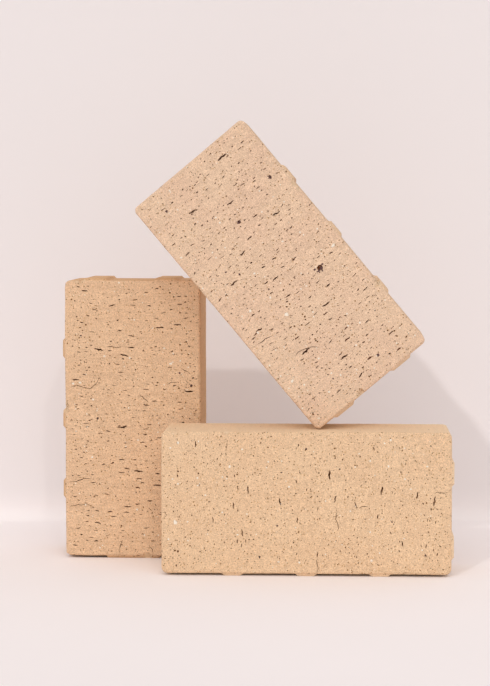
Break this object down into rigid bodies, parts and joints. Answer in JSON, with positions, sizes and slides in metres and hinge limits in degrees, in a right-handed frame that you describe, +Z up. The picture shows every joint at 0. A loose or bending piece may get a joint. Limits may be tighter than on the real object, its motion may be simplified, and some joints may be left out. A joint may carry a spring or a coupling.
{
  "type": "clay paving block set",
  "caption": "Solid wire-cut clay paving blocks with spacer nibs, stacked with one lying, one on end and one leaning across them.",
  "frame": {"origin": "under the middle of the whole set's box, on the surface that it stands on", "axes": "+Z up, +X to the right and +Y away from the viewer, seen from the front"},
  "size_m": [0.2734, 0.1425, 0.3088],
  "materials": {
    "clay": "fired buff clay, unglazed and rough",
    "quartz": "white quartz grains, dull",
    "ironstone": "dark iron nodules, matt"
  },
  "bodies": {
    "lying": {"lying_block": "clay", "lying_quartz": "quartz", "lying_iron": "ironstone"},
    "upright": {"upright_block": "clay", "upright_quartz": "quartz", "upright_iron": "ironstone"},
    "leaning": {"leaning_block": "clay", "leaning_quartz": "quartz", "leaning_iron": "ironstone"}
  },
  "joints": [
    {"name": "upright_pull", "type": "slide", "parent": "lying", "child": "upright", "axis": [-1, 0, 0], "range_m": [0, 0.1]},
    {"name": "leaning_lift", "type": "slide", "parent": "lying", "child": "leaning", "axis": [0, 0, 1], "range_m": [0, 0.15]}
  ]
}
